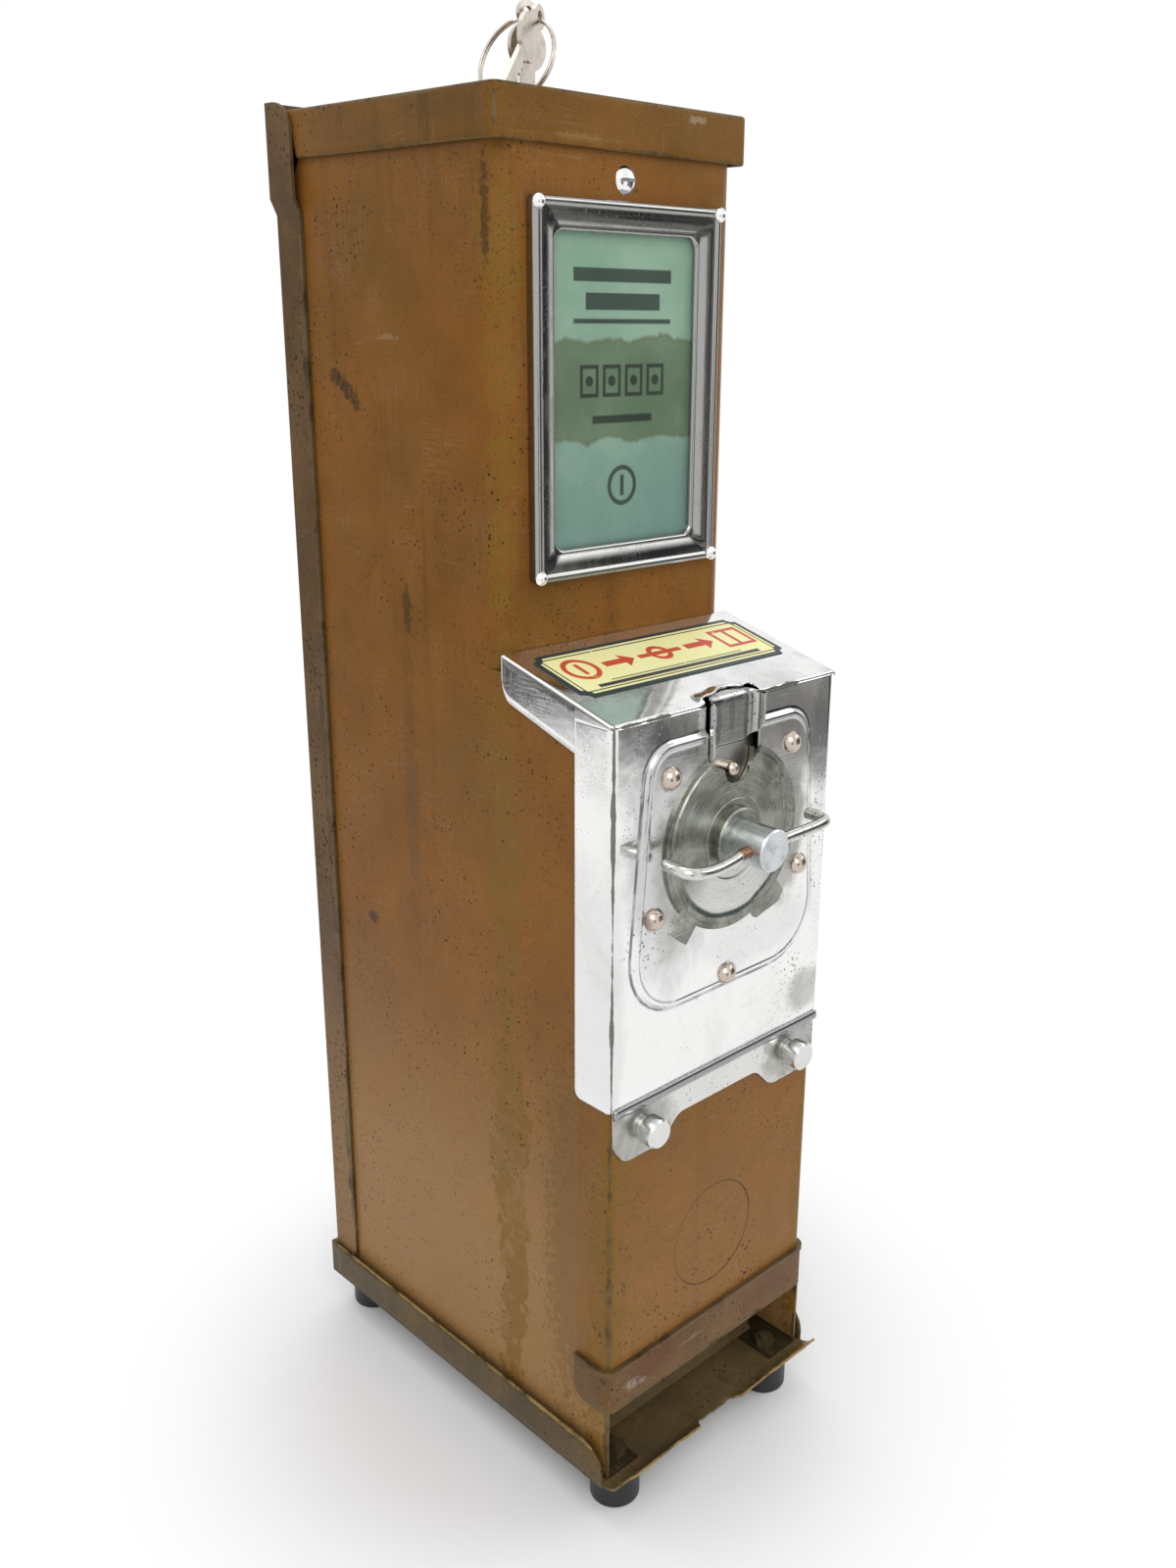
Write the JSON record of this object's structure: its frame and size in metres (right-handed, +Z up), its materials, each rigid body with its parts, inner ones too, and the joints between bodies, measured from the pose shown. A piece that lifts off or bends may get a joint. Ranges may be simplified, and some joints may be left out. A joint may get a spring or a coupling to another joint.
{
  "type": "stamp vending machine",
  "caption": "Tall sheet-steel coin machine with a plated hood, turning handle, framed window, locked lid with keys and a delivery tray for stamp folders.",
  "frame": {"origin": "On the resting plane under the four rubber feet, below the middle of the whole machine's box.", "axes": "+X to the machine's right as its user sees it from the front, +Y from the front to the back plate, +Z up."},
  "size_m": [0.109, 0.1844, 0.4933],
  "materials": {
    "bronze_paint": "worn satin",
    "band_paint": "worn satin",
    "dark_paint": "worn satin",
    "tray_paint": "worn satin",
    "plated_sheet": "bright, scratched",
    "worn_plate": "worn satin",
    "hub_steel": "machined",
    "rivet_nickel": "polished",
    "zinc_steel": "zinc plated",
    "key_nickel": "worn nickel",
    "lock_brass": "satin",
    "black_rubber": "matt",
    "window_glass": "clear",
    "card_print": "printed card",
    "label_print": "printed label",
    "folder_card": "plain card",
    "cast_weight": "cast"
  },
  "bodies": {
    "case": {"case_shell": "bronze_paint", "lower_front": "bronze_paint", "front_plug": "bronze_paint", "front_band": "band_paint", "base_tray": "tray_paint", "rubber_feet": "black_rubber", "foot_screws": "zinc_steel", "back_plate": "dark_paint", "back_screws": "zinc_steel", "hinge_rail": "zinc_steel", "hinge_pin": "zinc_steel", "lock_keeper": "zinc_steel", "hood_panel": "plated_sheet", "coin_chute": "worn_plate", "dial_plate": "worn_plate", "bearing_collar": "worn_plate", "mechanism_frame": "zinc_steel", "panel_rivets": "rivet_nickel", "lug_plate": "worn_plate", "knob_studs": "zinc_steel", "magazine_bed": "zinc_steel", "magazine_guides": "zinc_steel", "stamp_folders": "folder_card", "delivery_apron": "tray_paint", "coin_duct": "zinc_steel", "coin_box": "zinc_steel", "window_frame": "plated_sheet", "window_glass": "window_glass", "window_card": "card_print", "window_screws": "zinc_steel", "top_screw": "zinc_steel", "instruction_label": "label_print"},
    "lid": {"lid": "bronze_paint", "lid_leaf": "zinc_steel", "lock_body": "plated_sheet"},
    "lock": {"lock_plug": "lock_brass", "lock_cam": "zinc_steel", "key": "key_nickel"},
    "ring": {"key_ring": "key_nickel", "spare_key": "key_nickel"},
    "handle": {"spindle": "hub_steel", "handle_bar": "plated_sheet", "coin_wheel": "lock_brass", "crank_arm": "zinc_steel"},
    "rocker": {"rocker": "zinc_steel"},
    "ejector": {"ejector_slide": "zinc_steel", "next_folder": "folder_card"},
    "follower": {"follower_weight": "cast_weight"},
    "feeler": {"coin_feeler": "rivet_nickel"},
    "left_nut": {"left_thumb_nut": "rivet_nickel"},
    "right_nut": {"right_thumb_nut": "rivet_nickel"}
  },
  "joints": [
    {"name": "lid_open", "type": "hinge", "parent": "case", "child": "lid", "pos_m": [0, 0.0833, 0.4586], "axis": [-1, 0, 0], "range_deg": [0, 105]},
    {"name": "key_turn", "type": "hinge", "parent": "lid", "child": "lock", "pos_m": [0, 0.023, 0.4611], "axis": [0, 0, 1], "range_deg": [0, 90]},
    {"name": "ring_swing", "type": "hinge", "parent": "lock", "child": "ring", "pos_m": [0, 0.023, 0.4884], "axis": [-0.2079, 0.9781, 0], "range_deg": [0, 40]},
    {"name": "handle_turn", "type": "hinge", "parent": "case", "child": "handle", "pos_m": [0, 0, 0.241], "axis": [0, 1, 0], "range_deg": [0, 90]},
    {"name": "rocker_swing", "type": "hinge", "parent": "case", "child": "rocker", "pos_m": [0, -0.0279, 0.241], "axis": [-1, 0, 0], "range_deg": [0, 54]},
    {"name": "ejector_stroke", "type": "slide", "parent": "case", "child": "ejector", "axis": [0, -1, 0], "range_m": [0, 0.03997]},
    {"name": "follower_lift", "type": "slide", "parent": "case", "child": "follower", "axis": [0, 0, 1], "range_m": [0, 0.15]},
    {"name": "feeler_press", "type": "slide", "parent": "case", "child": "feeler", "axis": [0, 1, 0], "range_m": [0, 0.002], "stiffness_N_per_m": 300},
    {"name": "left_nut_turn", "type": "hinge", "parent": "case", "child": "left_nut", "pos_m": [-0.0364, -0.0714, 0.15], "axis": [0, 1, 0], "continuous": true},
    {"name": "right_nut_turn", "type": "hinge", "parent": "case", "child": "right_nut", "pos_m": [0.0364, -0.0714, 0.15], "axis": [0, 1, 0], "continuous": true}
  ],
  "couplings": [
    {"joint": "rocker_swing", "follows": "handle_turn", "ratio": 0.6},
    {"joint": "ejector_stroke", "follows": "handle_turn", "m_per_rad": 0.025434}
  ]
}
